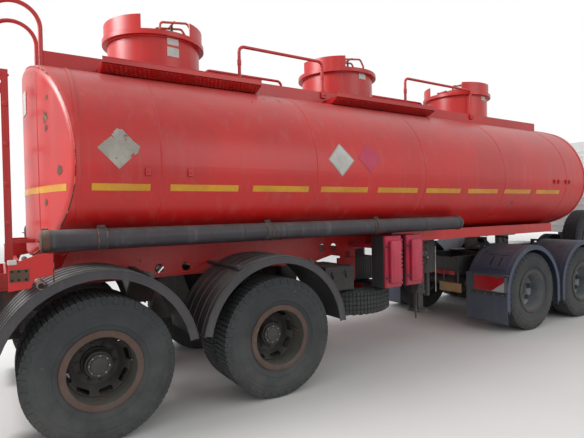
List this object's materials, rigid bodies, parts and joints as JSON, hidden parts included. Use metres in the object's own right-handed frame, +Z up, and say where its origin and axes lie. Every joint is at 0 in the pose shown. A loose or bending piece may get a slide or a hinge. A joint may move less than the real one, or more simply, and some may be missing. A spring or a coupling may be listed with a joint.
{
  "type": "articulated tanker truck",
  "caption": "Articulated tank lorry: cab-over tractor with twin drive axles pulling an oval tank semi-trailer with hatches, walkway, rear ladder and side boxes, hinged at the kingpin",
  "frame": {"origin": "on the ground under the middle of the lorry", "axes": "+X forward, +Y to the lorry's left, +Z up"},
  "size_m": [12.56, 3, 3.7144],
  "materials": {
    "tank_red": "satin",
    "lid_orange": "satin",
    "case_grey": "satin",
    "fender_charcoal": "matte",
    "fender_blue_black": "satin",
    "box_crimson": "gloss",
    "black_steel": "satin",
    "leg_grey": "satin",
    "axle_black": "matte",
    "frame_dark": "satin",
    "coupling_grey": "matte",
    "tyre": "matte",
    "rim_green_grey": "matte",
    "rim_grey": "satin",
    "cab_white": "gloss",
    "bumper_grey": "satin",
    "black_plastic": "matte",
    "glass": "clear",
    "lens_red": "gloss",
    "lens_clear": "gloss",
    "seat_cloth": "woven",
    "tank_aluminium": "brushed",
    "engine_iron": "matte"
  },
  "bodies": {
    "tractor": {"tractor_frame": "frame_dark", "tractor_axles": "axle_black", "engine": "engine_iron", "fifth_wheel": "coupling_grey", "tractor_fenders": "fender_blue_black", "tail_lamps": "lens_red", "fuel_tanks": "tank_aluminium", "tractor_spare_tyre": "tyre", "front_bumper": "bumper_grey", "headlamps": "lens_clear", "cab_steps": "black_steel"},
    "cab": {"cab_shell": "cab_white", "cab_roof": "cab_white", "grille": "black_plastic", "cab_glass": "glass", "dashboard": "black_plastic", "seats": "seat_cloth", "mirrors": "black_plastic"},
    "steering_wheel": {"steering_wheel": "black_plastic"},
    "door_left": {"door_left": "cab_white", "door_glass_left": "glass"},
    "door_right": {"door_right": "cab_white", "door_glass_right": "glass"},
    "knuckle_left": {"knuckle_left": "axle_black"},
    "knuckle_right": {"knuckle_right": "axle_black"},
    "steer_wheel_left": {"steer_tyre_left": "tyre", "steer_rim_left": "rim_grey"},
    "steer_wheel_right": {"steer_tyre_right": "tyre", "steer_rim_right": "rim_grey"},
    "trailer": {"tank": "tank_red", "walkway": "tank_red", "hose_cases": "case_grey", "trailer_frame": "tank_red", "trailer_axles": "axle_black", "trailer_fenders": "fender_charcoal", "trailer_spare_tyre": "tyre", "extinguisher_boxes": "box_crimson", "tool_box": "black_steel", "landing_legs": "leg_grey"},
    "drive_rear_wheels_left": {"drive_rear_tyres_left": "tyre", "drive_rear_rims_left": "rim_grey"},
    "drive_rear_wheels_right": {"drive_rear_tyres_right": "tyre", "drive_rear_rims_right": "rim_grey"},
    "drive_front_wheels_left": {"drive_front_tyres_left": "tyre", "drive_front_rims_left": "rim_grey"},
    "drive_front_wheels_right": {"drive_front_tyres_right": "tyre", "drive_front_rims_right": "rim_grey"},
    "trailer_rear_wheels_left": {"trailer_rear_tyres_left": "tyre", "trailer_rear_rims_left": "rim_green_grey"},
    "trailer_rear_wheels_right": {"trailer_rear_tyres_right": "tyre", "trailer_rear_rims_right": "rim_green_grey"},
    "trailer_front_wheels_left": {"trailer_front_tyres_left": "tyre", "trailer_front_rims_left": "rim_green_grey"},
    "trailer_front_wheels_right": {"trailer_front_tyres_right": "tyre", "trailer_front_rims_right": "rim_green_grey"},
    "hatch_1": {"hatch_lid_1": "lid_orange"},
    "hatch_2": {"hatch_lid_2": "lid_orange"},
    "hatch_3": {"hatch_lid_3": "lid_orange"},
    "extinguisher_lid_1": {"extinguisher_lid_1": "box_crimson"},
    "extinguisher_lid_2": {"extinguisher_lid_2": "box_crimson"}
  },
  "joints": [
    {"name": "trailer_yaw", "type": "hinge", "parent": "tractor", "child": "trailer", "pos_m": [0.9, 0, 1.3], "axis": [0, 0, 1], "range_deg": [-80, 80]},
    {"name": "cab_tilt", "type": "hinge", "parent": "tractor", "child": "cab", "pos_m": [6.1, 0, 1], "axis": [0, 1, 0], "range_deg": [0, 60]},
    {"name": "door_left", "type": "hinge", "parent": "cab", "child": "door_left", "pos_m": [5.958, 1.236, 1.6], "axis": [0, 0, -1], "range_deg": [0, 70]},
    {"name": "door_right", "type": "hinge", "parent": "cab", "child": "door_right", "pos_m": [5.958, -1.236, 1.6], "axis": [0, 0, 1], "range_deg": [0, 70]},
    {"name": "steering_wheel", "type": "hinge", "parent": "cab", "child": "steering_wheel", "pos_m": [5.695, 0.56, 2.11], "axis": [-0.5736, 0, 0.8192], "range_deg": [-684, 684]},
    {"name": "steer_left", "type": "hinge", "parent": "tractor", "child": "knuckle_left", "pos_m": [4.815, 0.92, 0.53], "axis": [0, 0, 1], "range_deg": [-38, 38]},
    {"name": "steer_wheel_left_spin", "type": "hinge", "parent": "knuckle_left", "child": "steer_wheel_left", "pos_m": [4.815, 1.045, 0.53], "axis": [0, 1, 0], "continuous": true},
    {"name": "steer_right", "type": "hinge", "parent": "tractor", "child": "knuckle_right", "pos_m": [4.815, -0.92, 0.53], "axis": [0, 0, 1], "range_deg": [-38, 38]},
    {"name": "steer_wheel_right_spin", "type": "hinge", "parent": "knuckle_right", "child": "steer_wheel_right", "pos_m": [4.815, -1.045, 0.53], "axis": [0, 1, 0], "continuous": true},
    {"name": "drive_rear_left_spin", "type": "hinge", "parent": "tractor", "child": "drive_rear_wheels_left", "pos_m": [0.165, 0.9375, 0.53], "axis": [0, 1, 0], "continuous": true},
    {"name": "drive_rear_right_spin", "type": "hinge", "parent": "tractor", "child": "drive_rear_wheels_right", "pos_m": [0.165, -0.9375, 0.53], "axis": [0, 1, 0], "continuous": true},
    {"name": "drive_front_left_spin", "type": "hinge", "parent": "tractor", "child": "drive_front_wheels_left", "pos_m": [1.515, 0.9375, 0.53], "axis": [0, 1, 0], "continuous": true},
    {"name": "drive_front_right_spin", "type": "hinge", "parent": "tractor", "child": "drive_front_wheels_right", "pos_m": [1.515, -0.9375, 0.53], "axis": [0, 1, 0], "continuous": true},
    {"name": "trailer_rear_left_spin", "type": "hinge", "parent": "trailer", "child": "trailer_rear_wheels_left", "pos_m": [-5.4, 0.9375, 0.545], "axis": [0, 1, 0], "continuous": true},
    {"name": "trailer_rear_right_spin", "type": "hinge", "parent": "trailer", "child": "trailer_rear_wheels_right", "pos_m": [-5.4, -0.9375, 0.545], "axis": [0, 1, 0], "continuous": true},
    {"name": "trailer_front_left_spin", "type": "hinge", "parent": "trailer", "child": "trailer_front_wheels_left", "pos_m": [-3.877, 0.9375, 0.545], "axis": [0, 1, 0], "continuous": true},
    {"name": "trailer_front_right_spin", "type": "hinge", "parent": "trailer", "child": "trailer_front_wheels_right", "pos_m": [-3.877, -0.9375, 0.545], "axis": [0, 1, 0], "continuous": true},
    {"name": "hatch_1", "type": "hinge", "parent": "trailer", "child": "hatch_1", "pos_m": [-4.94, 0, 3.489], "axis": [0, -1, 0], "range_deg": [0, 95]},
    {"name": "hatch_2", "type": "hinge", "parent": "trailer", "child": "hatch_2", "pos_m": [-2.545, 0, 3.489], "axis": [0, -1, 0], "range_deg": [0, 95]},
    {"name": "hatch_3", "type": "hinge", "parent": "trailer", "child": "hatch_3", "pos_m": [-0.15, 0, 3.489], "axis": [0, -1, 0], "range_deg": [0, 95]},
    {"name": "extinguisher_lid_1", "type": "hinge", "parent": "trailer", "child": "extinguisher_lid_1", "pos_m": [-2.265, -1.16, 1.125], "axis": [0, 0, 1], "range_deg": [0, 100]},
    {"name": "extinguisher_lid_2", "type": "hinge", "parent": "trailer", "child": "extinguisher_lid_2", "pos_m": [-1.945, -1.16, 1.125], "axis": [0, 0, 1], "range_deg": [0, 100]}
  ],
  "couplings": [
    {"joint": "steer_right", "follows": "steer_left", "ratio": 1},
    {"joint": "steering_wheel", "follows": "steer_left", "ratio": 18}
  ]
}
